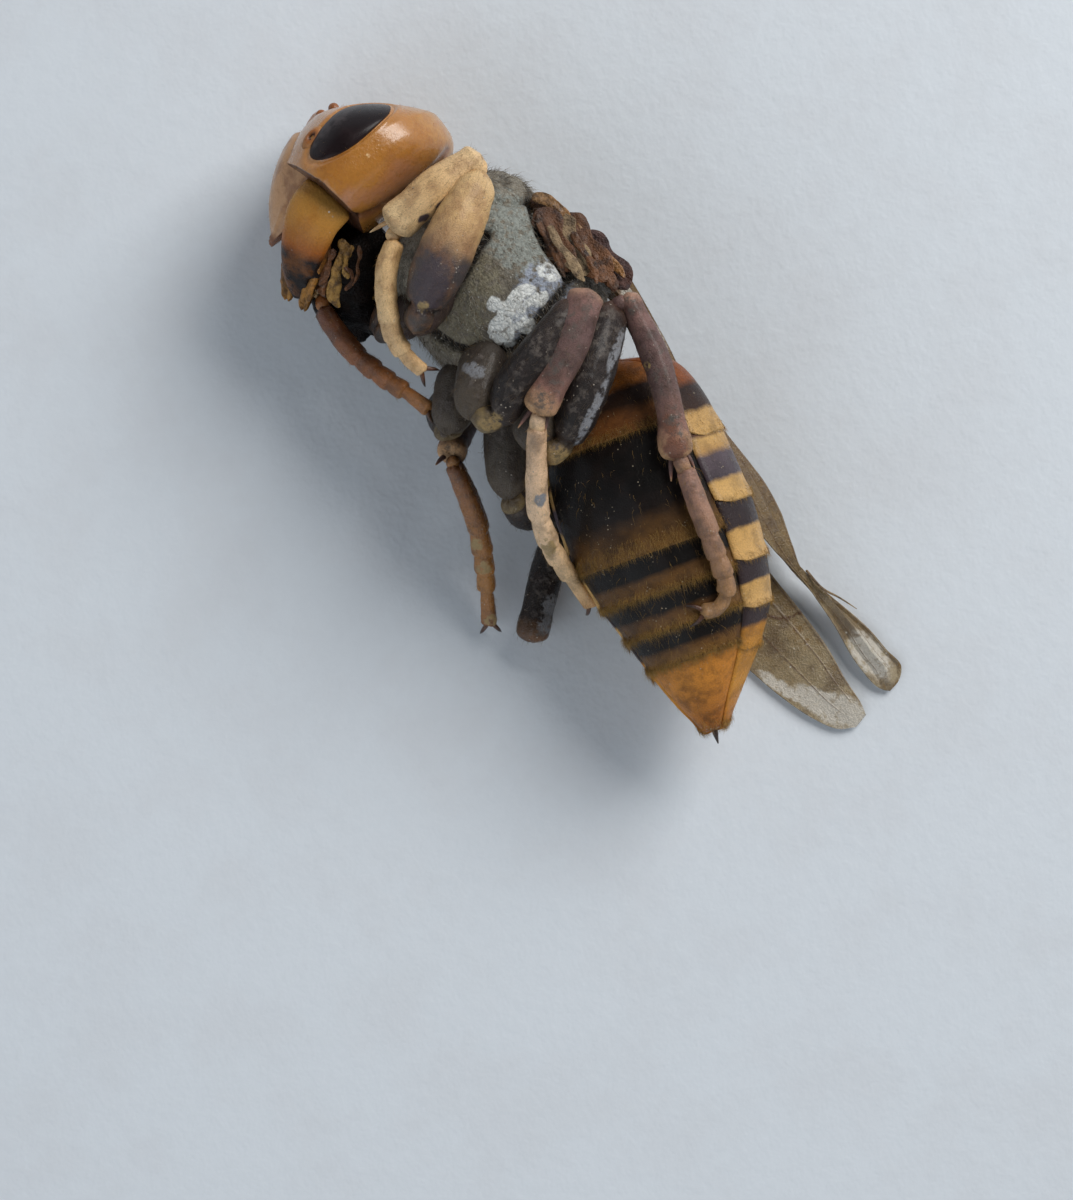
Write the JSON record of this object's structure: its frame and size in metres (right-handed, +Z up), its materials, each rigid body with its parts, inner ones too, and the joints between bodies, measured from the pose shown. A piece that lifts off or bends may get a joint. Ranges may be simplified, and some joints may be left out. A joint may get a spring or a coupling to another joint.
{
  "type": "asian giant hornet",
  "caption": "Still, life-size model of a dried asian giant hornet lying on its side, legs folded and wings swept back along the body.",
  "frame": {"origin": "centre of the bounding box at the floor it lies on", "axes": "+Z up from the floor, +Y along the body from head to tail, +X to the side that the underside faces"},
  "size_m": [0.017, 0.039, 0.0121],
  "materials": {
    "head_shell": "satin orange-brown shell",
    "clypeus": "satin orange shell",
    "eye": "dark brown, dull sheen of fine facets",
    "mandible": "glossy orange with black teeth",
    "mouthparts": "dried brown",
    "scape": "satin orange",
    "flagellum": "dark brown",
    "thorax": "black-brown under short pale down",
    "scutellum": "dark brown",
    "tegula": "glossy orange-brown",
    "gaster_rings": "dark brown rings edged with yellow-brown",
    "gaster_tip": "satin orange",
    "sting": "dark brown",
    "coxa": "black-brown, dusty",
    "femur_pale": "grey-brown to yellow-orange",
    "femur_dark": "black-brown",
    "tibia_pale": "yellow-orange",
    "tibia_dark": "purple-brown",
    "tarsus": "red-brown",
    "wing": "thin amber-brown membrane with darker veins"
  },
  "bodies": {
    "root": {"head": "head_shell", "clypeus": "clypeus", "eye_left": "eye", "eye_right": "eye", "mandible_left": "mandible", "mandible_right": "mandible", "labium": "mouthparts", "maxilla_left": "mouthparts", "maxilla_right": "mouthparts", "scape_left": "scape", "scape_right": "scape", "flagellum_left": "flagellum", "flagellum_right": "flagellum", "neck": "thorax", "pronotum": "thorax", "mesothorax": "thorax", "scutellum": "scutellum", "metanotum": "scutellum", "propodeum": "thorax", "tegula_left": "tegula", "tegula_right": "tegula", "gaster_1": "gaster_rings", "gaster_2": "gaster_rings", "gaster_3": "gaster_rings", "gaster_4": "gaster_rings", "gaster_5": "gaster_rings", "gaster_6": "gaster_tip", "sting": "sting", "coxa_fore_left": "coxa", "femur_fore_left": "femur_pale", "tibia_fore_left": "tibia_pale", "tarsus_fore_left": "tarsus", "coxa_fore_right": "coxa", "femur_fore_right": "femur_pale", "tibia_fore_right": "tibia_pale", "tarsus_fore_right": "tarsus", "coxa_mid_left": "coxa", "femur_mid_left": "femur_dark", "tibia_mid_left": "tibia_dark", "tarsus_mid_left": "tarsus", "coxa_mid_right": "coxa", "femur_mid_right": "femur_dark", "tibia_mid_right": "tibia_dark", "tarsus_mid_right": "tarsus", "coxa_hind_left": "coxa", "femur_hind_left": "femur_dark", "tibia_hind_left": "tibia_dark", "tarsus_hind_left": "tarsus", "coxa_hind_right": "coxa", "femur_hind_right": "femur_dark", "tibia_hind_right": "tibia_dark", "tarsus_hind_right": "tarsus", "forewing_left": "wing", "hindwing_left": "wing", "forewing_right": "wing", "hindwing_right": "wing"}
  },
  "joints": []
}
